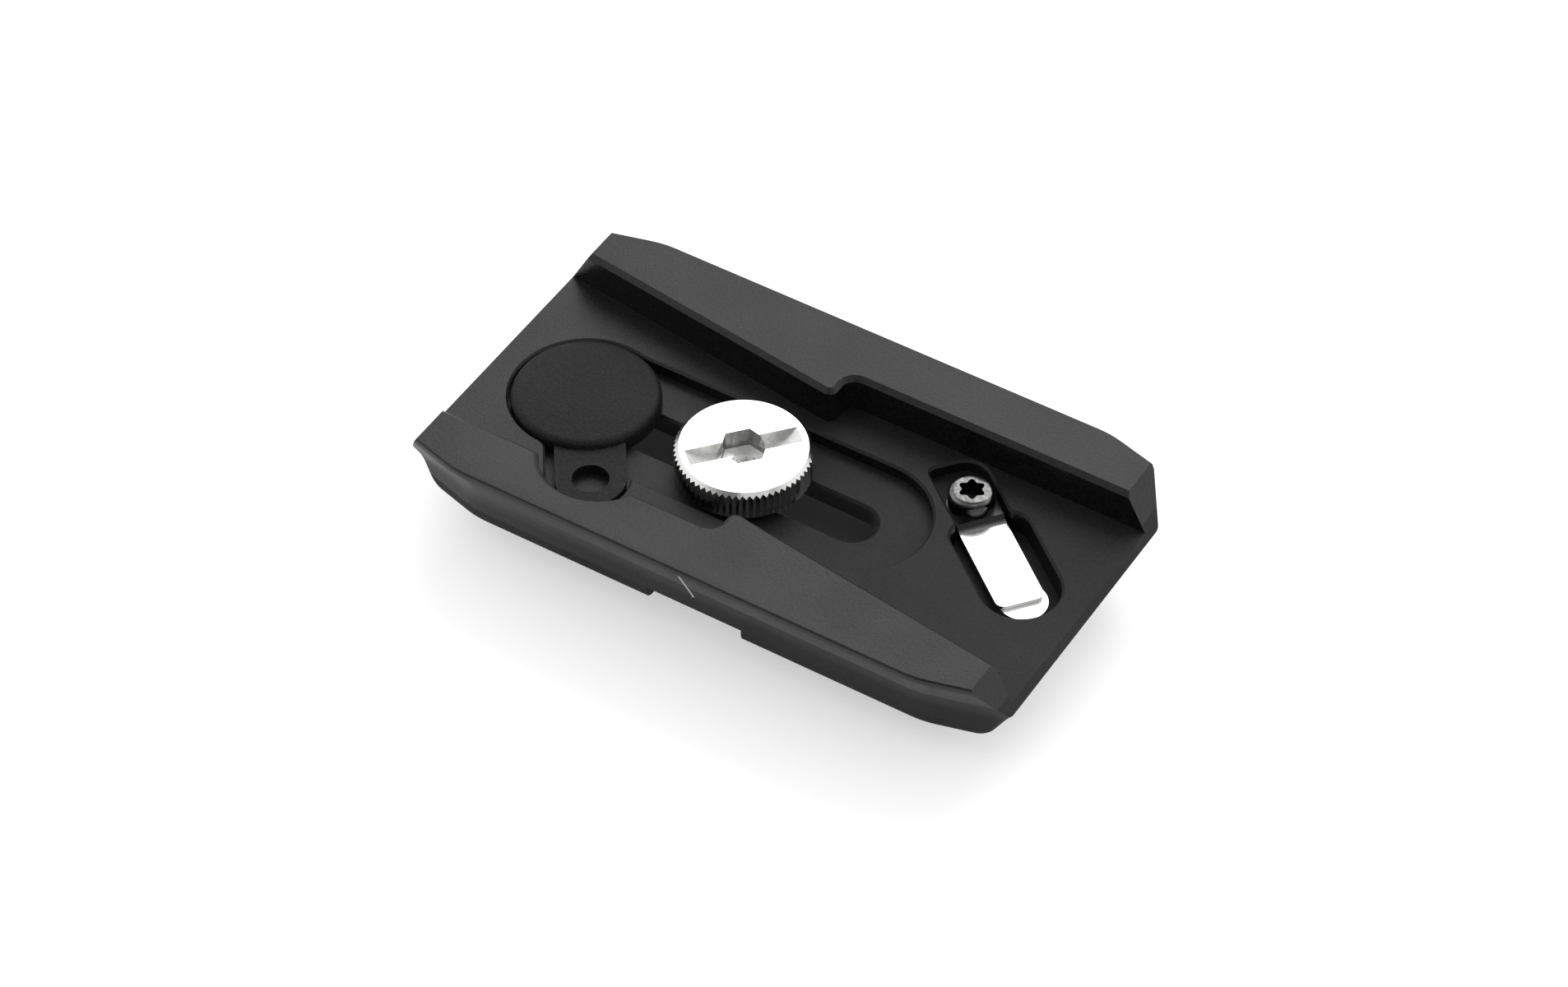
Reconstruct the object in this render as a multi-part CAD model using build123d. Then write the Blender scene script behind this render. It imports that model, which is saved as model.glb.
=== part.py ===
from build123d import *
import math
import os

os.makedirs("parts", exist_ok=True)

# All sizes are in millimetres. X runs along the plate, Y across it, Z up.
# The clamp side faces up and the camera side faces down. Zero height is the tip of the camera thread.

# Heights, measured up from the pads' camera face
stud_out = 5.0
pad_t = 1.5
body_h = 9.2
floor_h = 5.0
pocket_depth = 1.45
neck_h = 3.2
tip_h = 4.1
rim_land = 0.65

# Plan outline of the dovetail rim and of the narrower neck under it
rim_half_w = 19.0
flank_in = 2.7
neck_cove_r = 2.5
taper_run = 5.3
taper_deg = 15.3
taper_blend_r = 10.0

# Pointed ends: a bevel above the tip edge and an undercut below it
tip_half_l = 33.85
end_bevel_deg = 28.5
end_under_deg = 31.5
end_foot_r = 2.2
end_corner_r = 0.7

# Rails: each is narrow on one half and widens along a slant on the other half
wall_land = 1.7
wall_step = 3.3
wall_slant = 4.1
step_cove_r = 1.5
step_tip_r = 0.9
wall_break = 0.5
rim_break = 0.15

# Long pocket for the screw head, with the slot for its neck
head_r = 6.9
head_gap = 0.6
pocket_land = 0.8
pocket_break = 0.25
screw_neck_r = 2.4
neck_gap = 0.1
slot_short = 0.45
slot_break = 0.3

# Key, its seat and channel, and the finger notch
key_end_wall = 3.2
key_r = 7.55
key_h = 1.9
key_edge_r = 0.8
key_seat_gap = 0.2
seat_step = 0.25
tab_deg = -56.0
tab_out = 3.95
tab_half_w = 3.53
tab_shift = 0.25
tab_t = 1.15
tab_hole_r = 1.86
tab_gap = 0.62
lane_blend_r = 1.5
notch_x_from_key = 8.04
notch_wall = 0.55
notch_r = 5.95

# Leaf spring and its pocket
pin_end = 6.85
leaf_run_x = 10.4
leaf_wall_gap = 4.45
leaf_off_pin = 0.3
leaf_half_w = 2.45
leaf_t = 0.4
leaf_back = 2.1
leaf_past_pin = 0.5
leaf_joggle = 0.4
leaf_bend_start = 2.35
leaf_bend_end = 3.35
leaf_corner_r = 0.9
leaf_back_r = 2.1
narrow_gap = 0.3
narrow_back = 4.75
narrow_left_r = 0.8
narrow_right_r = 2.4
wide_gap = 1.6
wide_start = 3.1
wide_short = 0.3
wide_corner_r = 2.0
throat_r = 0.8
deep_h = 2.3

# Leaf screw
leaf_head_r = 2.33
leaf_head_h = 1.95
leaf_head_edge_r = 0.55
leaf_shank_r = 1.25
leaf_shank_in = 1.5
leaf_hole_gap = 0.1
thread_gap = 0.03
lobe_out_r = 1.38
lobe_in_r = 1.0
lobe_steps = 8
lobe_depth = 1.2

# Video pin and its guide boss
pin_r = 1.95
pin_out = 2.6
pin_guide_more = 0.25
pin_head_r = 2.45
pin_tip_bevel = 0.4
pin_run = 0.05
boss_r = 3.2
boss_h = 1.2
boss_gap = 0.25

# Camera screw and its washer
screw_park = 3.96
head_t = 3.25
head_bevel = 0.5
head_foot_bevel = 0.25
knurl_teeth = 64
knurl_depth = 0.26
stud_r = 3.175
stud_play = 1.0
stud_tip_bevel = 0.6
coin_deg = 48.6
coin_half_l = 5.75
coin_clear = 0.2
coin_depth = 1.7
hex_af = 4.3
hex_depth = 2.2
drill_r = 1.4
drill_depth = 3.4
washer_r = 5.6
washer_t = 0.63
seat_gap = 0.02

# Rubber pads
pad_gap_half = 5.2
pad_break = 0.15
pad_thread_gap = 0.4

# Levels in the part's own height
face_z = stud_out
top_z = face_z + body_h
floor_z = face_z + floor_h
pocket_z = floor_z - pocket_depth
seat_z = face_z + pad_t
neck_z = face_z + neck_h
tip_z = face_z + tip_h
deep_z = face_z + deep_h

# Places in plan that follow from the sizes above
neck_half_w = rim_half_w - flank_in
rail_half_l = tip_half_l - (body_h - tip_h) * math.tan(math.radians(end_bevel_deg))
taper_x = rail_half_l - taper_run
pocket_r = head_r + head_gap
wall_wide_y = pocket_r + wall_land
wall_narrow_y = wall_wide_y + wall_step
wall_slant_end_y = wall_wide_y + wall_slant
seat_r = max(key_r + key_seat_gap, pocket_r + seat_step)
key_x = key_end_wall + seat_r - tip_half_l
tab_reach = key_r + tab_out
notch_x = key_x + notch_x_from_key
notch_y = notch_wall + notch_r - neck_half_w
pin_x = tip_half_l - pin_end
leaf_screw_x = pin_x - leaf_run_x
leaf_screw_y = wall_narrow_y - leaf_wall_gap
pocket_right_x = leaf_screw_x - pocket_land - pocket_r
slot_right_x = pocket_right_x - slot_short
screw_x = key_x + key_r + head_r + screw_park
past = 2.0
far = 2 * tip_half_l

flank = flank_in / (body_h - rim_land - neck_h)
taper = math.radians(taper_deg)


def at(z):
    return Plane.XY.offset(z)


def rise(sketch, z0, z1):
    return extrude(at(z0) * sketch, z1 - z0)


def near(shape_list, x, y):
    return shape_list.sort_by_distance(Vector(x, y, 0))[0]


def corners(face, half_x, half_y):
    return [near(face.vertices(), sx * half_x, sy * half_y) for sx in (1, -1) for sy in (1, -1)]


def edges_at(solid, z):
    return solid.edges().filter_by(lambda e: abs((e @ 0).Z - z) + abs((e @ 1).Z - z) < 0.001)


def edges_on(solid, sketch, z):
    ring = (at(z) * sketch).wire()
    return edges_at(solid, z).filter_by(
        lambda e: max(ring.distance_to(e @ s) for s in (0, 0.5, 1)) < 0.001)


def outline(half_w):
    half_l = tip_half_l + past
    tx = taper_x - (rim_half_w - half_w) * math.tan(taper / 2)
    ey = half_w - (half_l - tx) * math.tan(taper)
    right = [(tx, half_w), (half_l, ey), (half_l, -ey), (tx, -half_w)]
    face = make_face(Polyline(*right, *[(-x, -y) for x, y in right], close=True))
    return fillet(corners(face, tx, half_w), taper_blend_r)


def undercut_corners(solid):
    def on_undercut(p):
        return abs(abs(p.X) - tip_half_l + (tip_z - p.Z) * under) < 0.001
    slanted = solid.edges().filter_by(lambda e: abs((e @ 0).Z - (e @ 1).Z) > 0.01)
    return slanted.filter_by(lambda e: on_undercut(e @ 0) and on_undercut(e @ 0.5) and on_undercut(e @ 1))


def stadium(x0, x1, r):
    bar = Pos((x0 + x1) / 2, 0) * Rectangle(x1 - x0, 2 * r)
    return bar + Pos(x0, 0) * Circle(r) + Pos(x1, 0) * Circle(r)


def rounded_disc(r, h, edge_r):
    profile = [(0, 0), (r, 0)]
    for turn in (0, 22.5, 45, 67.5, 90):
        bend = math.radians(turn)
        profile.append((r - edge_r * (1 - math.cos(bend)), h - edge_r * (1 - math.sin(bend))))
    profile.append((0, h))
    return revolve(Plane.XZ * make_face(Polyline(*profile, close=True)), Axis.Z)


# Plate blank with its pads: neck, flared dovetail flank, rim land, tapered corners and pointed ends
neck = outline(neck_half_w)
crown = offset(neck, (top_z - neck_z) * flank, kind=Kind.INTERSECTION)
blank = rise(neck, face_z, neck_z) + loft([at(neck_z) * neck, at(top_z) * crown], ruled=True)
blank = fillet(edges_at(blank, neck_z), neck_cove_r)
blank = blank & rise(outline(rim_half_w), face_z, top_z)
under = math.tan(math.radians(end_under_deg))
foot_half_l = tip_half_l - tip_h * under
side = [(rail_half_l, top_z), (tip_half_l, tip_z), (foot_half_l, face_z)]
side = make_face(Polyline(*side, *[(-x, z) for x, z in reversed(side)], close=True))
side = fillet([near(side.vertices(), s * foot_half_l, face_z) for s in (1, -1)], end_foot_r)
blank = blank & extrude(Plane.XZ * side, rim_half_w + past, both=True)
blank = fillet(undercut_corners(blank), end_corner_r)
body = blank & rise(Rectangle(far, far), seat_z, top_z)

# Channel between the rails, the same after half a turn
slant = (wall_slant_end_y - wall_wide_y) / rail_half_l
half = [(far, wall_narrow_y), (0, wall_narrow_y), (0, wall_wide_y), (-far, wall_wide_y + far * slant)]
channel = make_face(Polyline(*half, *[(-x, -y) for x, y in half], close=True))
channel = fillet([near(channel.vertices(), 0, s * wall_narrow_y) for s in (1, -1)], step_cove_r)
channel = fillet([near(channel.vertices(), 0, s * wall_wide_y) for s in (1, -1)], step_tip_r)
notch = Pos(notch_x, notch_y) * Circle(notch_r)
channel = channel + notch
body = body - rise(channel, floor_z, top_z + past)
body = chamfer(edges_on(body, channel, top_z), wall_break)
rim = edges_at(body, top_z).filter_by(lambda e: abs((e @ 0.5).Y) > wall_slant_end_y + 2 * wall_break)
rim = rim.filter_by(lambda e: abs((e @ 0.5).X) < rail_half_l - rim_break)
body = chamfer(rim, rim_break)

# Pocket for the screw head, seat for the key's disc and lane for its tab
lane_half = tab_half_w + tab_gap
tab_frame = Location((key_x, 0, 0), (0, 0, tab_deg))
lane = Pos(tab_reach / 2, 0) * Rectangle(tab_reach, 2 * lane_half) + Pos(tab_reach, 0) * Circle(lane_half)
pocket = stadium(key_x, pocket_right_x, pocket_r) + Pos(key_x, 0) * Circle(seat_r) + tab_frame * lane
bend = (tab_frame * Pos(math.sqrt(max(seat_r, pocket_r)**2 - lane_half**2), -lane_half)).position
pocket = fillet(near(pocket.vertices(), bend.X, bend.Y), lane_blend_r)
body = body - rise(pocket, pocket_z, top_z + past)
body = chamfer(edges_on(body, pocket, floor_z), pocket_break)

# Slot for the screw's neck, with the round hole that lets its thread in under the key
slot = stadium(key_x, slot_right_x, screw_neck_r + neck_gap)
slot = slot + Pos(key_x, 0) * Circle(stud_r + pad_thread_gap)
body = body - rise(slot, seat_z - past, pocket_z + past)
body = chamfer(edges_on(body, slot, pocket_z), slot_break)

# Stepped pocket for the leaf spring, drawn along the line from its screw past one side of the pin's axis
leaf_l = math.hypot(pin_x - leaf_screw_x, leaf_screw_y)
leaf_deg = math.degrees(math.atan2(-leaf_screw_y, pin_x - leaf_screw_x) - leaf_off_pin / leaf_l)
leaf_frame = Location((leaf_screw_x, leaf_screw_y, 0), (0, 0, leaf_deg))
narrow_half = leaf_half_w + narrow_gap
wide_half = leaf_half_w + wide_gap
narrow_l = narrow_back + leaf_l
narrow = Pos(leaf_l - narrow_l / 2, 0) * Rectangle(narrow_l, 2 * narrow_half)
narrow = fillet(near(narrow.vertices(), -narrow_back, -narrow_half), narrow_left_r)
narrow = fillet(near(narrow.vertices(), -narrow_back, narrow_half), narrow_right_r)
wide_end = leaf_l - wide_short
broad = Pos((wide_start + wide_end) / 2, 0) * Rectangle(wide_end - wide_start, 2 * wide_half)
broad = fillet([near(broad.vertices(), wide_start, s * wide_half) for s in (1, -1)], wide_corner_r)
broad = broad + Pos(wide_end, 0) * Circle(wide_half)
both = narrow + broad
throat_rise = (narrow_half - wide_half) / wide_corner_r + 1
throat_u = wide_start + wide_corner_r * (1 - math.sqrt(1 - throat_rise**2))
both = fillet([near(both.vertices(), throat_u, s * narrow_half) for s in (1, -1)], throat_r)
deep_l = leaf_l + wide_half - leaf_bend_start
deep = both & Pos(leaf_bend_start - narrow_gap + deep_l, 0) * Rectangle(2 * deep_l, 3 * wide_half)
both = leaf_frame * both
body = body - rise(both, pocket_z, top_z) - rise(leaf_frame * deep, deep_z, top_z)
body = chamfer(edges_on(body, both, floor_z), pocket_break)

# Guide boss and hole for the pin, hole for the leaf's screw
pin_spot = Pos(pin_x, 0)
screw_spot = Pos(leaf_screw_x, leaf_screw_y)
pin_guide_r = pin_r + pin_guide_more
boss_z = seat_z - boss_h
body = body + rise(pin_spot * Circle(boss_r), boss_z, deep_z)
body = body - rise(pin_spot * Circle(pin_guide_r + pin_run), face_z, top_z)
body = body - rise(screw_spot * Circle(leaf_shank_r + thread_gap), pocket_z - leaf_shank_in - leaf_t, top_z)

# Rubber pads on the camera side, with a bare band between them
pad_slot = stadium(key_x, slot_right_x, stud_r + pad_thread_gap)
pads = []
for side_x in (-1, 1):
    bare = Pos(side_x * (pad_gap_half + far / 2), 0) * Rectangle(far, far)
    pad = blank & rise(bare - pad_slot, face_z, seat_z)
    pad = chamfer(edges_at(pad, face_z), pad_break)
    pads.append(pad)
pad_left, pad_right = pads
pad_right = pad_right - rise(pin_spot * Circle(boss_r + boss_gap), face_z - past, seat_z + past)

# Camera screw: knurled head with a saw-cut coin slot and a hex socket, waisted neck, thread body
head_z = pocket_z + washer_t + 2 * seat_gap
head_top = head_z + head_t
step = math.pi / knurl_teeth
teeth = []
for i in range(2 * knurl_teeth):
    r = head_r - knurl_depth * (i % 2)
    teeth.append((r * math.cos(i * step), r * math.sin(i * step)))
knurl = rise(make_face(Polyline(*teeth, close=True)), head_z, head_top)
shape = [(0, head_z), (head_r - head_foot_bevel, head_z), (head_r, head_z + head_foot_bevel)]
shape += [(head_r, head_top - head_bevel), (head_r - head_bevel, head_top), (0, head_top)]
head = knurl & revolve(Plane.XZ * make_face(Polyline(*shape, close=True)), Axis.Z)
stud_top = seat_z - stud_play
stud_wall_top = stud_top - (stud_r - screw_neck_r)
stem = [(0, 0), (stud_r - stud_tip_bevel, 0), (stud_r, stud_tip_bevel), (stud_r, stud_wall_top)]
stem += [(screw_neck_r, stud_top), (screw_neck_r, head_z), (0, head_z)]
screw = head + revolve(Plane.XZ * make_face(Polyline(*stem, close=True)), Axis.Z)
saw_r = (coin_half_l**2 + coin_depth**2) / (2 * coin_depth)
saw = Pos(0, 0, head_top - coin_depth + saw_r) * Rot(0, 0, coin_deg) * Rot(90, 0, 0)
screw = screw - saw * Cylinder(saw_r, key_h + coin_clear)
hexagon = Rot(0, 0, coin_deg) * RegularPolygon(hex_af / 2, 6, major_radius=False)
screw = screw - rise(hexagon, head_top - hex_depth, head_top + past)
screw = screw - rise(Circle(drill_r), head_top - drill_depth, head_top)
screw = Pos(screw_x, 0, 0) * screw

# Slip washer between the head and the pocket floor
washer = Circle(washer_r) - Circle(screw_neck_r + neck_gap)
washer = rise(Pos(screw_x, 0) * washer, pocket_z + seat_gap, pocket_z + seat_gap + washer_t)

# Coin key: thick disc that fits the screw's coin slot, thin tab with a hole
disc = Pos(key_x, 0, pocket_z) * rounded_disc(key_r, key_h, key_edge_r)
tab = Pos(tab_reach / 2, tab_shift) * Rectangle(tab_reach, 2 * tab_half_w)
tab = tab + Pos(tab_reach, tab_shift) * Circle(tab_half_w)
key = disc + rise(tab_frame * tab, pocket_z, pocket_z + tab_t)
key = key - rise(tab_frame * Pos(tab_reach, tab_shift) * Circle(tab_hole_r), pocket_z - past, top_z)

# Leaf spring: flat strip with a joggle beside its screw
leaf_end = leaf_l + leaf_past_pin
lower = [(-leaf_back, 0), (leaf_bend_start, 0), (leaf_bend_end, -leaf_joggle), (leaf_end, -leaf_joggle)]
strip = make_face(Polyline(*lower, *[(u, w + leaf_t) for u, w in reversed(lower)], close=True))
leaf = Pos(0, 0, pocket_z) * extrude(Plane.XZ * strip, leaf_half_w, both=True)
leaf = fillet(leaf.edges().filter_by(Axis.Z).group_by(Axis.X)[-1], leaf_corner_r)
leaf = fillet(leaf.edges().filter_by(Axis.Z).group_by(Axis.X)[0], leaf_back_r)
leaf = leaf_frame * leaf
leaf = leaf - rise(screw_spot * Circle(leaf_shank_r + leaf_hole_gap), pocket_z - past, top_z)

# Leaf screw: cheese head with a rounded edge and a six-lobed socket
leaf_top = pocket_z + leaf_t
fastener = rounded_disc(leaf_head_r, leaf_head_h, leaf_head_edge_r)
fastener = fastener + rise(Circle(leaf_shank_r), -leaf_t - leaf_shank_in, 0)
lobes = []
for i in range(6 * lobe_steps):
    turn = i * math.pi / (3 * lobe_steps)
    r = (lobe_out_r + lobe_in_r) / 2 + (lobe_out_r - lobe_in_r) / 2 * math.cos(6 * turn)
    lobes.append((r * math.cos(turn), r * math.sin(turn)))
socket = make_face(Polyline(*lobes, close=True))
fastener = fastener - rise(socket, leaf_head_h - lobe_depth, leaf_head_h + past)
fastener = Pos(leaf_screw_x, leaf_screw_y, leaf_top) * fastener

# Video pin: headed pin held down by the leaf
pin_tip = face_z - pin_out
pin_top = pocket_z - leaf_joggle - seat_gap
pin_stop = deep_z + seat_gap
stalk = [(0, pin_tip), (pin_r - pin_tip_bevel, pin_tip), (pin_r, pin_tip + pin_tip_bevel)]
stalk += [(pin_r, boss_z - pin_guide_more), (pin_guide_r, boss_z), (pin_guide_r, pin_stop)]
stalk += [(pin_head_r, pin_stop), (pin_head_r, pin_top), (0, pin_top)]
pin = Pos(pin_x, 0, 0) * revolve(Plane.XZ * make_face(Polyline(*stalk, close=True)), Axis.Z)

export_step(body, "parts/plate_body.step")
export_step(pad_left, "parts/pad_left.step")
export_step(pad_right, "parts/pad_right.step")
export_step(screw, "parts/camera_screw.step")
export_step(washer, "parts/slip_washer.step")
export_step(key, "parts/coin_key.step")
export_step(leaf, "parts/leaf_spring.step")
export_step(fastener, "parts/leaf_screw.step")
export_step(pin, "parts/video_pin.step")
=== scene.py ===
import bmesh
import bpy
import math
from mathutils import Matrix, Vector
from mathutils.bvhtree import BVHTree

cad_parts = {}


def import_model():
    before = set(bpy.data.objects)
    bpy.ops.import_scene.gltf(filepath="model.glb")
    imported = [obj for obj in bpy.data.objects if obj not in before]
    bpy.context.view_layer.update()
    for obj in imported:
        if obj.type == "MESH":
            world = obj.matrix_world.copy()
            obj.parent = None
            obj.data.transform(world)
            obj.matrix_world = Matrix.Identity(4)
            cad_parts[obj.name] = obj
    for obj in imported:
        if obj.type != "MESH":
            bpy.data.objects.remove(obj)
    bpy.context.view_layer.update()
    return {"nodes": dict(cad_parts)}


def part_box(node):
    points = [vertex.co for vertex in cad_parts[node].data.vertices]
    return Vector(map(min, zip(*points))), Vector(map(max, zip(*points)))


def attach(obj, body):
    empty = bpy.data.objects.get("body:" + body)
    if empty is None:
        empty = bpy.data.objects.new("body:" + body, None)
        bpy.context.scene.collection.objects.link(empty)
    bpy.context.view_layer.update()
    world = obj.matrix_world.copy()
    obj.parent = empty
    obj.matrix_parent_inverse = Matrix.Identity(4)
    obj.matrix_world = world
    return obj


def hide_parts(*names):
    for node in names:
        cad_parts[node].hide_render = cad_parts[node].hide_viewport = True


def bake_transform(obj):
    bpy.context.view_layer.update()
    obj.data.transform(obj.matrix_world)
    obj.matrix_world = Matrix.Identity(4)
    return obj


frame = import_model()
MM = 0.001
scene = bpy.context.scene
scene.view_settings.view_transform = "Standard"


# Places and sizes in the shared frame, in millimetres

def corners_of(node):
    low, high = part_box(node)
    return low / MM, high / MM


def plan_middle(low, high):
    middle = (low + high) / 2
    return Vector((middle.x, middle.y, 0))


plate_low, plate_high = corners_of("plate_body")
TOP_Z = plate_high.z
FLOOR_Z = 10.0
BEFORE_FLANK_Y = 2 * plate_low.y

screw_low, screw_high = corners_of("camera_screw")
SCREW = plan_middle(screw_low, screw_high)
HEAD_TOP_Z = screw_high.z
CUTS_R = 6.2
CUTS_DEPTH = 3.6
COIN_TURN = math.radians(48.6)
HEX_R = 2.45
HEX_DEPTH = 2.2
DRILL_R = 1.4
DRILL_DROP = 0.35

THREAD_TOP = 4.6
PITCH = 1.27
CREST_R = 3.175
ROOT_R = 2.45
THREAD_FLAT = 0.12
TIP_BEVEL = 0.6
RUN_OUT = 0.5
THREAD_SIDES = 64
THREAD_ROWS = 46

leaf_screw_low, leaf_screw_high = corners_of("leaf_screw")
LEAF_SCREW = plan_middle(leaf_screw_low, leaf_screw_high)
LEAF_HEAD_Z = leaf_screw_high.z
SOCKET_R = 1.45
SOCKET_DEPTH = 1.2

pin_low, pin_high = corners_of("video_pin")
PIN = plan_middle(pin_low, pin_high)
PIN_HEAD_R = (pin_high.x - pin_low.x) / 2

LEAF_OFF_PIN = 0.3
BEND_START = 3.35
BEND_SLICES = 24
leaf_reach = (PIN - LEAF_SCREW).length
leaf_turn = math.atan2(PIN.y - LEAF_SCREW.y, PIN.x - LEAF_SCREW.x)
leaf_turn -= LEAF_OFF_PIN / leaf_reach
leaf_along = Vector((math.cos(leaf_turn), math.sin(leaf_turn), 0))

MARK_TOP_Z = 13.42
MARK_FOOT_Z = 8.3
MARK_HALF_W = 0.13
MARK_PROUD = 0.012
MARK_SUNK = 0.03
MARK_STEPS = 32

NEAR = 0.01
RIM_NEAR = 0.05
WALL_NEAR = 0.1
WELD = 0.002
CREASE_DEG = 28
LEAF_CREASE_DEG = 6

# Spans across which a finish, a painted reflection or a painted shadow changes, in millimetres
SUNK_Z = (FLOOR_Z + 0.6, FLOOR_Z + 1.0)
MILLED_X = (-32, 8)
WALL_Y = (13, 14.5)
# Painted dark reflection on the leaf near its screw
LEAF_REFLECTION_SPAN = (2.8, 3.72)
# Painted shadow on the floor under the plate: its middle across, and where it fades out across and
# along
SHADE_Y = 2.5
SHADE_HALF_W = (8.5, 14)
SHADE_HALF_L = (20, 30)

# Spans across which the room dims, as shares of a direction
CEILING_Z = (0.72, 1.0)
NEAR_SIDE = (0.15, 0.7)

# Levels of the room and the floor, where 1 is white
ROOM_LIGHT = 0.7
CEILING_SEEN = 0.3
NEAR_SIDE_SEEN = 0.2
FLOOR_BOUNCE = 0.5
# Floor colour inside the painted shadow under the plate
FLOOR_SHADED = 0.15
FLOOR_OPEN = 0.95
FLOOR_GLOW = 0.42

# The camera, as solved from the photograph's straight edges
TO_CAMERA = Vector((171.3, -285.1, 333.3))
CAMERA_ROLL = math.radians(0.713)
SENSOR_MM = 36
LENS_MM = 111.55
PHOTO_WIDTH = 1906
SHIFT_PIXELS = (0.9, -52.1)


# Node helpers

NOISE_SPAN = (0.3, 0.7)
BROAD_MM = 9
BROAD_METAL_MM = 3


def material(name):
    mat = bpy.data.materials.new(name)
    mat.use_nodes = True
    tree = mat.node_tree
    return mat, tree, tree.nodes["Principled BSDF"]


def add(tree, kind, **values):
    """Add a node. A value sets the node's own property, or else its input of that name."""
    node = tree.nodes.new(kind)
    for key, value in values.items():
        if hasattr(node, key):
            setattr(node, key, value)
        else:
            node.inputs[key.replace("_", " ")].default_value = value
    return node


def place(tree, move=(0, 0, 0), turn=0.0, scale=(1, 1, 1)):
    coords = add(tree, "ShaderNodeTexCoord")
    mapping = add(tree, "ShaderNodeMapping", Location=move, Rotation=(0, 0, turn), Scale=scale)
    tree.links.new(coords.outputs["Object"], mapping.inputs["Vector"])
    return mapping.outputs["Vector"]


def noise(tree, where, size_mm, detail=2.0, rough=0.5):
    node = add(tree, "ShaderNodeTexNoise", Scale=1 / (size_mm * MM), Detail=detail, Roughness=rough)
    tree.links.new(where, node.inputs["Vector"])
    return node.outputs["Fac"]


def remap(tree, source, span, low, high, ease):
    node = add(
        tree, "ShaderNodeMapRange", interpolation_type=ease,
        From_Min=span[0], From_Max=span[1], To_Min=low, To_Max=high)
    tree.links.new(source, node.inputs["Value"])
    return node.outputs["Result"]


def spread(tree, source, low, high):
    return remap(tree, source, NOISE_SPAN, low, high, "LINEAR")


def band(tree, source, span, low, high):
    return remap(tree, source, span, low, high, "SMOOTHSTEP")


def band_mm(tree, source, span, low, high):
    return band(tree, source, (span[0] * MM, span[1] * MM), low, high)


def tint(tree, source, dark, light):
    node = add(tree, "ShaderNodeValToRGB")
    ends = node.color_ramp.elements
    ends[0].position, ends[1].position = NOISE_SPAN
    ends[0].color = (*dark, 1)
    ends[1].color = (*light, 1)
    tree.links.new(source, node.inputs["Fac"])
    return node.outputs["Color"]


def combine(tree, operation, first, second):
    node = add(tree, "ShaderNodeMath", operation=operation)
    tree.links.new(first, node.inputs[0])
    tree.links.new(second, node.inputs[1])
    return node.outputs["Value"]


def axes_of(tree, vector):
    node = add(tree, "ShaderNodeSeparateXYZ")
    tree.links.new(vector, node.inputs["Vector"])
    return node.outputs


def along(tree, vector, direction):
    node = add(tree, "ShaderNodeVectorMath", operation="DOT_PRODUCT")
    node.inputs[1].default_value = direction
    tree.links.new(vector, node.inputs[0])
    return node.outputs["Value"]


def bump(tree, shader, height, strength, depth_mm, edge_mm=0.0):
    node = add(tree, "ShaderNodeBump", Strength=strength, Distance=depth_mm * MM)
    tree.links.new(height, node.inputs["Height"])
    tree.links.new(node.outputs["Normal"], shader.inputs["Normal"])
    if edge_mm > 0:
        rounded = add(tree, "ShaderNodeBevel", samples=4, Radius=edge_mm * MM)
        tree.links.new(rounded.outputs["Normal"], node.inputs["Normal"])


# Materials

def grained(name, dark, light, rough, grain_mm, strength, depth_mm, specular=0.5):
    mat, tree, shader = material(name)
    shader.inputs["Specular IOR Level"].default_value = specular
    where = place(tree)
    fine = noise(tree, where, grain_mm, detail=3)
    broad = noise(tree, where, BROAD_MM, detail=3)
    tree.links.new(tint(tree, fine, dark, light), shader.inputs["Base Color"])
    tree.links.new(spread(tree, broad, *rough), shader.inputs["Roughness"])
    bump(tree, shader, fine, strength, depth_mm)
    return mat


def bright(name, dark, light, rough, grain_mm, strength, depth_mm, turn=0.0, stretch=(1, 1, 1)):
    mat, tree, shader = material(name)
    shader.inputs["Metallic"].default_value = 1.0
    lines = noise(tree, place(tree, turn=turn, scale=stretch), grain_mm)
    broad = noise(tree, place(tree), BROAD_METAL_MM)
    tree.links.new(tint(tree, lines, dark, light), shader.inputs["Base Color"])
    tree.links.new(spread(tree, broad, *rough), shader.inputs["Roughness"])
    bump(tree, shader, lines, strength, depth_mm)
    return mat


def anodised_black():
    """Satin, rougher towards the right end of the sunk floor, smoother on walls between the rails."""
    mat, tree, shader = material("anodised_black")
    shader.inputs["Specular IOR Level"].default_value = 0.48
    where = place(tree)
    fine = noise(tree, where, 0.28, detail=4, rough=0.6)
    broad = noise(tree, where, BROAD_MM, detail=3)
    axes = axes_of(tree, where)
    sunk = band_mm(tree, axes["Z"], SUNK_Z, 1, 0)
    rougher = band_mm(tree, axes["X"], MILLED_X, 0, 0.22)
    normal = axes_of(tree, add(tree, "ShaderNodeNewGeometry").outputs["Normal"])
    upright = band(tree, normal["Z"], (0.2, 0.5), 1, 0)
    sideways = add(tree, "ShaderNodeMath", operation="ABSOLUTE")
    tree.links.new(axes["Y"], sideways.inputs[0])
    smoother = band_mm(tree, sideways.outputs["Value"], WALL_Y, 0.4, 0)
    satin = spread(tree, broad, 0.38, 0.44)
    least = band(tree, broad, NOISE_SPAN, 0.17, 0.2)
    rough = combine(tree, "ADD", satin, combine(tree, "MULTIPLY", sunk, rougher))
    rough = combine(tree, "SUBTRACT", rough, combine(tree, "MULTIPLY", upright, smoother))
    rough = combine(tree, "MAXIMUM", rough, least)
    color = tint(tree, fine, (0.0004, 0.0004, 0.0004), (0.0095, 0.0095, 0.0097))
    tree.links.new(color, shader.inputs["Base Color"])
    tree.links.new(rough, shader.inputs["Roughness"])
    bump(tree, shader, fine, strength=0.9, depth_mm=0.05, edge_mm=0.05)
    return mat


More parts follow.
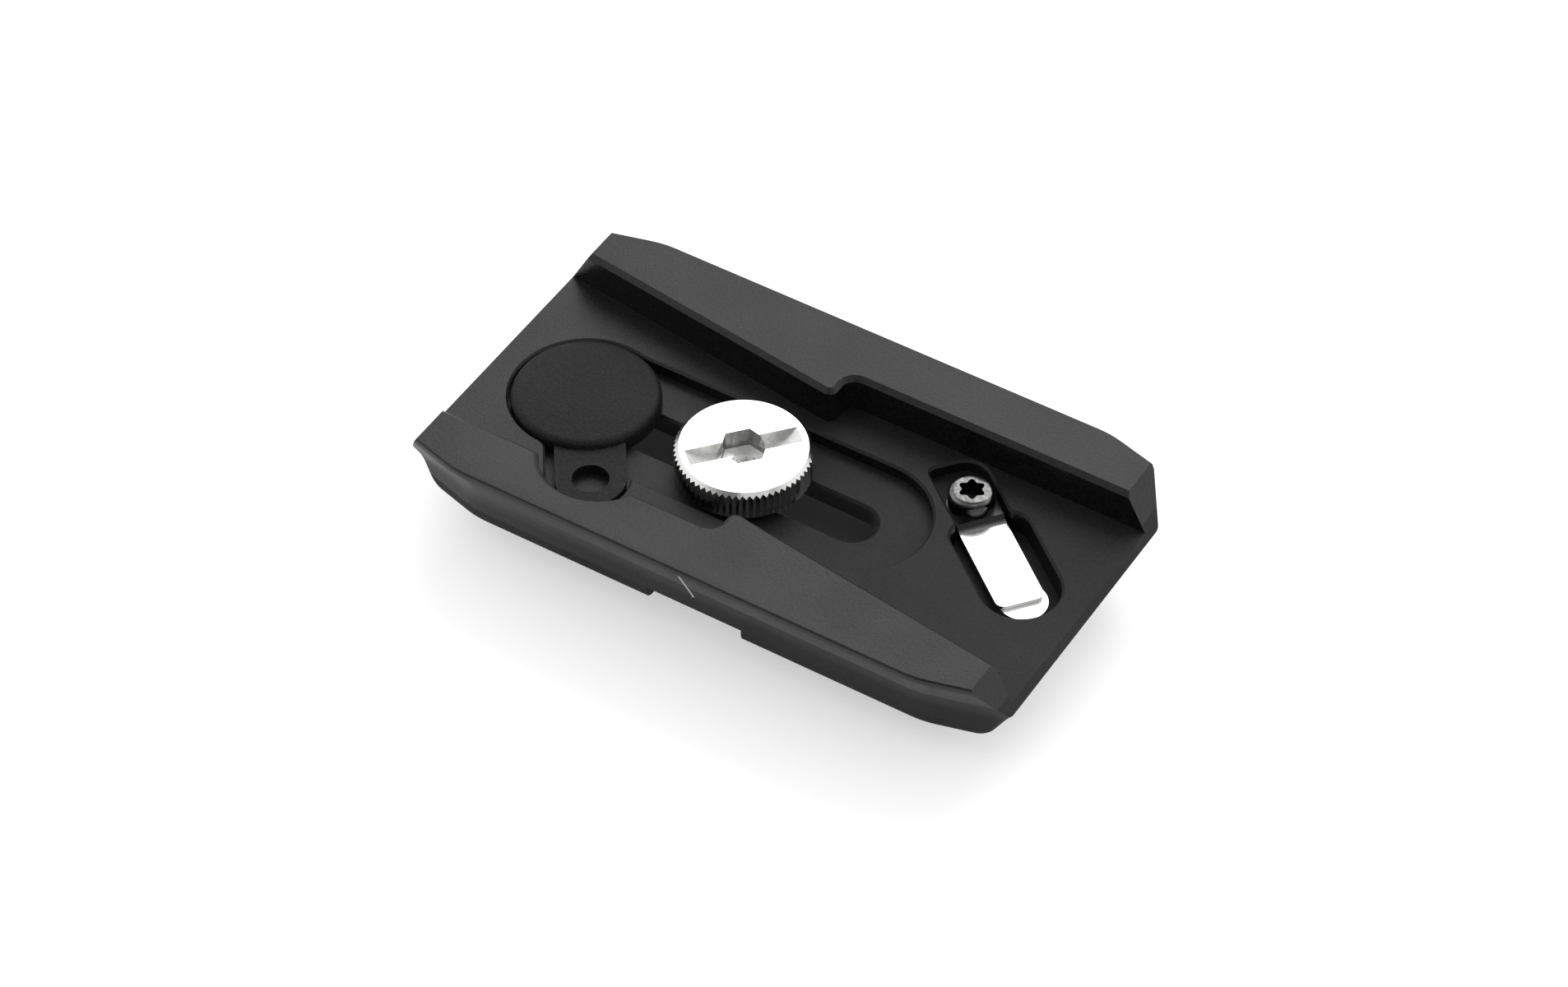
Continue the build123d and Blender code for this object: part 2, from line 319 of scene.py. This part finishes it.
def turned_nickel():
    mat, tree, shader = material("turned_nickel")
    shader.inputs["Metallic"].default_value = 1.0
    where = place(tree, -SCREW * MM)
    rings = add(
        tree, "ShaderNodeTexWave", wave_type="RINGS", rings_direction="Z",
        Scale=1 / (1.1 * MM), Distortion=0.6, Detail=2.0, Detail_Scale=3.0)
    tree.links.new(where, rings.inputs["Vector"])
    broad = noise(tree, where, 2.5, detail=3)
    color = tint(tree, broad, (0.76, 0.755, 0.745), (0.86, 0.855, 0.845))
    tree.links.new(color, shader.inputs["Base Color"])
    tree.links.new(spread(tree, broad, 0.13, 0.2), shader.inputs["Roughness"])
    bump(tree, shader, rings.outputs["Fac"], strength=0.06, depth_mm=0.006)
    return mat


def paint_leaf_reflection(mat):
    """Paint a dark reflection of the screw head and pocket wall on the leaf, from its screw to just
    past the start of its bend.
    """
    tree = mat.node_tree
    color = tree.nodes["Principled BSDF"].inputs["Base Color"]
    reach = along(tree, place(tree, -LEAF_SCREW * MM), leaf_along)
    mix = add(tree, "ShaderNodeMix", data_type="RGBA")
    mix.inputs["B"].default_value = (0.02, 0.02, 0.02, 1)
    tree.links.new(band_mm(tree, reach, LEAF_REFLECTION_SPAN, 0.95, 0), mix.inputs["Factor"])
    tree.links.new(color.links[0].from_socket, mix.inputs["A"])
    tree.links.new(mix.outputs["Result"], color)


anodised = anodised_black()
rubber = grained(
    "pad_rubber", (0.010, 0.010, 0.010), (0.018, 0.018, 0.018), rough=(0.70, 0.82),
    grain_mm=0.3, strength=0.5, depth_mm=0.05)
key_black = grained(
    "key_black", (0.001, 0.001, 0.001), (0.014, 0.014, 0.014), rough=(0.55, 0.62),
    grain_mm=0.3, strength=1.0, depth_mm=0.07, specular=0.3)
acetal = grained(
    "washer_black", (0.012, 0.012, 0.012), (0.018, 0.018, 0.018), rough=(0.40, 0.46),
    grain_mm=0.6, strength=0.1, depth_mm=0.01)
strip_steel = bright(
    "strip_steel", (0.74, 0.74, 0.74), (0.86, 0.86, 0.85), rough=(0.18, 0.24),
    grain_mm=0.12, strength=0.1, depth_mm=0.006, turn=-leaf_turn, stretch=(0.06, 1, 1))
# Painted dark reflection of the screw head and pocket wall on the leaf
paint_leaf_reflection(strip_steel)
screw_steel = bright(
    "screw_steel", (0.11, 0.11, 0.109), (0.22, 0.22, 0.216), rough=(0.14, 0.22),
    grain_mm=0.4, strength=0.08, depth_mm=0.006)
pin_steel = bright(
    "pin_steel", (0.70, 0.70, 0.69), (0.82, 0.82, 0.81), rough=(0.12, 0.18),
    grain_mm=0.25, strength=0.08, depth_mm=0.006, stretch=(1, 1, 0.1))
nickel = turned_nickel()
sawn_nickel = bright(
    "sawn_nickel", (0.76, 0.76, 0.75), (0.94, 0.94, 0.93), rough=(0.24, 0.34),
    grain_mm=0.35, strength=0.25, depth_mm=0.02, turn=-COIN_TURN, stretch=(0.2, 1, 1))
# Hex socket walls: the nickel painted darker as shade in the recess
hex_painted_shade = bright(
    "hex_painted_shade", (0.34, 0.34, 0.335), (0.54, 0.54, 0.535), rough=(0.24, 0.34),
    grain_mm=0.25, strength=0.25, depth_mm=0.02, stretch=(1, 1, 0.12))
# Six-lobed socket painted near black as shade in the recess
socket_painted_shade = bright(
    "socket_painted_shade", (0.006, 0.006, 0.006), (0.02, 0.02, 0.02), rough=(0.35, 0.5),
    grain_mm=0.25, strength=0.2, depth_mm=0.01)
white_paint = grained(
    "index_white", (0.72, 0.72, 0.71), (0.80, 0.80, 0.79), rough=(0.45, 0.55),
    grain_mm=0.2, strength=0.1, depth_mm=0.01)


# Mesh helpers

def soften(obj, crease_deg=CREASE_DEG):
    for face in obj.data.polygons:
        face.use_smooth = True
    weld = obj.modifiers.new("weld", "WELD")
    weld.merge_threshold = WELD * MM
    split = obj.modifiers.new("creases", "EDGE_SPLIT")
    split.split_angle = math.radians(crease_deg)


def copy_of(node, name):
    data = frame["nodes"][node].data.copy()
    obj = bpy.data.objects.new(name, data)
    scene.collection.objects.link(obj)
    shape = bmesh.new()
    shape.from_mesh(data)
    bmesh.ops.remove_doubles(shape, verts=shape.verts, dist=WELD * MM)
    return obj, shape


def finish_mesh(obj, shape, *mats, crease_deg=CREASE_DEG):
    """Set the materials first: clearing them later would reset each face's index."""
    obj.data.materials.clear()
    for mat in mats:
        obj.data.materials.append(mat)
    shape.to_mesh(obj.data)
    shape.free()
    soften(obj, crease_deg)


def reach_from(point, spot):
    """Distance in plan from a spot to a point of a mesh, in millimetres."""
    return math.hypot(point.x / MM - spot.x, point.y / MM - spot.y)


def whole(shape):
    return [*shape.verts, *shape.edges, *shape.faces]


# Pieces carried over from the solids

def dress(node, mat):
    obj = frame["nodes"][node]
    obj.data.materials.clear()
    obj.data.materials.append(mat)
    soften(obj)


# Camera screw with its cut thread and the cuts in its head

def thread_radius(turn, z):
    ridge = 1 - abs(2 * ((z / PITCH - turn) % 1) - 1)
    ridge = min(max((ridge - THREAD_FLAT) / (1 - 2 * THREAD_FLAT), 0), 1)
    r = ROOT_R + (CREST_R - ROOT_R) * ridge
    full = min(max((z - THREAD_TOP + RUN_OUT) / RUN_OUT, 0), 1)
    r += (CREST_R - r) * full
    return min(r, CREST_R - TIP_BEVEL + z)


def cut_thread(shape):
    rings = []
    for k in range(THREAD_ROWS + 1):
        z = THREAD_TOP * k / THREAD_ROWS
        ring = []
        for i in range(THREAD_SIDES):
            r = thread_radius(i / THREAD_SIDES, z)
            a = 2 * math.pi * i / THREAD_SIDES
            spot = SCREW + Vector((r * math.cos(a), r * math.sin(a), z))
            ring.append(shape.verts.new(spot * MM))
        rings.append(ring)
    for low, high in zip(rings, rings[1:]):
        for i in range(THREAD_SIDES):
            j = (i + 1) % THREAD_SIDES
            shape.faces.new((low[i], low[j], high[j], high[i]))
    shape.faces.new(list(reversed(rings[0])))
    shape.faces.new(rings[-1])


def drop_drill_rim(shape):
    """Make the hex socket's floor a shallow cone round its drill hole."""
    for v in shape.verts:
        on_floor = abs(HEAD_TOP_Z - HEX_DEPTH - v.co.z / MM) < NEAR
        if on_floor and reach_from(v.co, SCREW) < DRILL_R + RIM_NEAR:
            v.co.z -= DRILL_DROP * MM


def head_slot(face):
    """Material slot of a face of the screw: 0 outside, 1 in a cut, 2 on the hex socket's walls, which
    are painted darker as shade.
    """
    mid = face.calc_center_median()
    depth = HEAD_TOP_Z - mid.z / MM
    inside = max(reach_from(v.co, SCREW) for v in face.verts) < CUTS_R
    if not inside or not NEAR < depth < CUTS_DEPTH:
        return 0
    hex_wall = DRILL_R + WALL_NEAR < reach_from(mid, SCREW) < HEX_R and abs(face.normal.z) < 0.5
    return 2 if hex_wall else 1


def camera_screw():
    obj, shape = copy_of("camera_screw", "camera_screw_cut")
    cut = bmesh.ops.bisect_plane(
        shape, geom=whole(shape), dist=0.0005 * MM,
        plane_co=(0, 0, THREAD_TOP * MM), plane_no=(0, 0, 1), clear_inner=True)
    rim = [e for e in cut["geom_cut"] if isinstance(e, bmesh.types.BMEdge)]
    bmesh.ops.contextual_create(shape, geom=rim)
    cut_thread(shape)
    drop_drill_rim(shape)
    bmesh.ops.recalc_face_normals(shape, faces=shape.faces)
    shape.normal_update()
    for face in shape.faces:
        face.material_index = head_slot(face)
    finish_mesh(obj, shape, nickel, sawn_nickel, hex_painted_shade)
    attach(obj, "stud")
    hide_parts("camera_screw")


# Leaf screw with its six-lobed socket painted near black as shade

def leaf_screw():
    obj, shape = copy_of("leaf_screw", "leaf_screw_lobed")
    for face in shape.faces:
        mid = face.calc_center_median()
        sunk = NEAR < LEAF_HEAD_Z - mid.z / MM < SOCKET_DEPTH + NEAR
        in_socket = sunk and reach_from(mid, LEAF_SCREW) < SOCKET_R
        face.material_index = 1 if in_socket else 0
    finish_mesh(obj, shape, screw_steel, socket_painted_shade)
    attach(obj, "plate")
    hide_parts("leaf_screw")


# Leaf spring, sliced across its length from the start of its bend

def leaf_spring():
    obj, shape = copy_of("leaf_spring", "leaf_strip")
    bend_end = leaf_reach - PIN_HEAD_R
    for i in range(1, BEND_SLICES + 1):
        u = BEND_START + (bend_end - BEND_START) * i / BEND_SLICES
        bmesh.ops.bisect_plane(
            shape, geom=whole(shape), dist=0.001 * MM,
            plane_co=(LEAF_SCREW + leaf_along * u) * MM, plane_no=leaf_along)
    finish_mesh(obj, shape, strip_steel, crease_deg=LEAF_CREASE_DEG)
    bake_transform(obj)
    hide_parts("leaf_spring")


# White index line painted down the front flank

def index_mark():
    source = frame["nodes"]["plate_body"].data
    flank = BVHTree.FromPolygons(
        [v.co for v in source.vertices], [list(p.vertices) for p in source.polygons])
    corners = (
        (-MARK_HALF_W, MARK_PROUD), (MARK_HALF_W, MARK_PROUD),
        (MARK_HALF_W, -MARK_SUNK), (-MARK_HALF_W, -MARK_SUNK))
    shape = bmesh.new()
    rows = []
    for i in range(MARK_STEPS + 1):
        z = MARK_TOP_Z + (MARK_FOOT_Z - MARK_TOP_Z) * i / MARK_STEPS
        row = []
        for x, lift in corners:
            start = Vector((x, BEFORE_FLANK_Y, z)) * MM
            hit, normal, _, _ = flank.ray_cast(start, Vector((0, 1, 0)))
            if normal.y > 0:
                normal = -normal
            row.append(shape.verts.new(hit + normal * lift * MM))
        rows.append(row)
    for a, b in zip(rows, rows[1:]):
        for k in range(4):
            m = (k + 1) % 4
            shape.faces.new((a[k], a[m], b[m], b[k]))
    shape.faces.new(rows[0])
    shape.faces.new(rows[-1])
    bmesh.ops.recalc_face_normals(shape, faces=shape.faces)
    data = bpy.data.meshes.new("index_mark")
    shape.to_mesh(data)
    shape.free()
    obj = bpy.data.objects.new("index_mark", data)
    scene.collection.objects.link(obj)
    data.materials.append(white_paint)
    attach(obj, "plate")


# Floor, light and camera

def floor():
    """White floor that takes the shadow, with a painted shadow under the plate, and clear from below.
    """
    bpy.ops.mesh.primitive_plane_add(size=6)
    obj = bpy.context.object
    obj.name = "floor"
    mat, tree, shader = material("floor_white")
    shader.inputs["Roughness"].default_value = 0.9
    shader.inputs["Specular IOR Level"].default_value = 0.1
    # Painted shadow: under the plate the floor is darker and does not glow
    where = add(tree, "ShaderNodeVectorMath", operation="ABSOLUTE")
    tree.links.new(place(tree, (0, -SHADE_Y * MM, 0)), where.inputs[0])
    axes = axes_of(tree, where.outputs["Vector"])
    beside = band_mm(tree, axes["Y"], SHADE_HALF_W, 0, 1)
    beyond = band_mm(tree, axes["X"], SHADE_HALF_L, 0, 1)
    outside_painted_shadow = combine(tree, "MAXIMUM", beside, beyond)
    path = add(tree, "ShaderNodeLightPath").outputs
    base = add(tree, "ShaderNodeMapRange", To_Min=FLOOR_BOUNCE)
    seen = band(tree, outside_painted_shadow, (0, 1), FLOOR_SHADED, FLOOR_OPEN)
    tree.links.new(path["Is Camera Ray"], base.inputs["Value"])
    tree.links.new(seen, base.inputs["To Max"])
    tree.links.new(base.outputs["Result"], shader.inputs["Base Color"])
    shows = combine(tree, "MAXIMUM", path["Is Camera Ray"], path["Is Glossy Ray"])
    shows = combine(tree, "MAXIMUM", shows, path["Is Transmission Ray"])
    level = band(tree, outside_painted_shadow, (0, 1), 0, FLOOR_GLOW)
    glow = add(tree, "ShaderNodeEmission")
    tree.links.new(combine(tree, "MULTIPLY", shows, level), glow.inputs["Strength"])
    total = add(tree, "ShaderNodeAddShader")
    tree.links.new(shader.outputs["BSDF"], total.inputs[0])
    tree.links.new(glow.outputs["Emission"], total.inputs[1])
    side = add(tree, "ShaderNodeNewGeometry")
    clear = add(tree, "ShaderNodeBsdfTransparent")
    clear_below = add(tree, "ShaderNodeMixShader")
    tree.links.new(side.outputs["Backfacing"], clear_below.inputs["Fac"])
    tree.links.new(total.outputs["Shader"], clear_below.inputs[1])
    tree.links.new(clear.outputs["BSDF"], clear_below.inputs[2])
    tree.links.new(clear_below.outputs["Shader"], tree.nodes["Material Output"].inputs["Surface"])
    obj.data.materials.append(mat)


def world():
    """White room whose ceiling and near side are dim in reflections."""
    room = bpy.data.worlds.new("studio")
    scene.world = room
    room.use_nodes = True
    tree = room.node_tree
    back = tree.nodes["Background"]
    back.inputs["Color"].default_value = (1, 1, 1, 1)
    path = add(tree, "ShaderNodeLightPath").outputs
    toward = add(tree, "ShaderNodeTexCoord").outputs["Generated"]
    nearer = along(tree, toward, (*TO_CAMERA.xy.normalized(), 0))
    ceiling = band(tree, axes_of(tree, toward)["Z"], CEILING_Z, 1.0, CEILING_SEEN)
    front = band(tree, nearer, NEAR_SIDE, 1.0, NEAR_SIDE_SEEN)
    glossy = add(tree, "ShaderNodeMapRange", To_Min=ROOM_LIGHT)
    tree.links.new(path["Is Glossy Ray"], glossy.inputs["Value"])
    tree.links.new(combine(tree, "MULTIPLY", ceiling, front), glossy.inputs["To Max"])
    direct = combine(tree, "MAXIMUM", path["Is Camera Ray"], path["Is Transmission Ray"])
    level = add(tree, "ShaderNodeMapRange", To_Max=1.0)
    tree.links.new(direct, level.inputs["Value"])
    tree.links.new(glossy.outputs["Result"], level.inputs["To Min"])
    tree.links.new(level.outputs["Result"], back.inputs["Strength"])


def lamp(name, spot, size, power):
    """Area lamp that faces the origin, in metres and watts."""
    data = bpy.data.lights.new(name, "AREA")
    data.shape = "RECTANGLE"
    data.size, data.size_y = size
    data.energy = power
    obj = bpy.data.objects.new(name, data)
    scene.collection.objects.link(obj)
    obj.location = spot
    obj.rotation_euler = (-Vector(spot)).to_track_quat("-Z", "Y").to_euler()


def camera():
    data = bpy.data.cameras.new("camera")
    data.sensor_width = SENSOR_MM
    data.lens = LENS_MM
    data.shift_x = SHIFT_PIXELS[0] / PHOTO_WIDTH
    data.shift_y = SHIFT_PIXELS[1] / PHOTO_WIDTH
    data.clip_start = 0.01
    data.clip_end = 20
    obj = bpy.data.objects.new("camera", data)
    scene.collection.objects.link(obj)
    ahead = -TO_CAMERA.normalized()
    level = ahead.cross(Vector((0, 0, 1))).normalized()
    upright = level.cross(ahead)
    right = level * math.cos(CAMERA_ROLL) + upright * math.sin(CAMERA_ROLL)
    up = upright * math.cos(CAMERA_ROLL) - level * math.sin(CAMERA_ROLL)
    turn = Matrix((right, up, -ahead)).transposed()
    spot = (TO_CAMERA + Vector((0, 0, TOP_Z))) * MM
    obj.matrix_world = Matrix.Translation(spot) @ turn.to_4x4()
    scene.camera = obj


dress("plate_body", anodised)
dress("pad_left", rubber)
dress("pad_right", rubber)
dress("slip_washer", acetal)
dress("coin_key", key_black)
dress("video_pin", pin_steel)
camera_screw()
leaf_screw()
leaf_spring()
index_mark()
floor()
world()
lamp("key", (-0.12, 0.78, 0.90), size=(1.0, 0.7), power=3.8)
lamp("fill", (0.5, -0.4, 1.0), size=(0.8, 0.8), power=1)
camera()
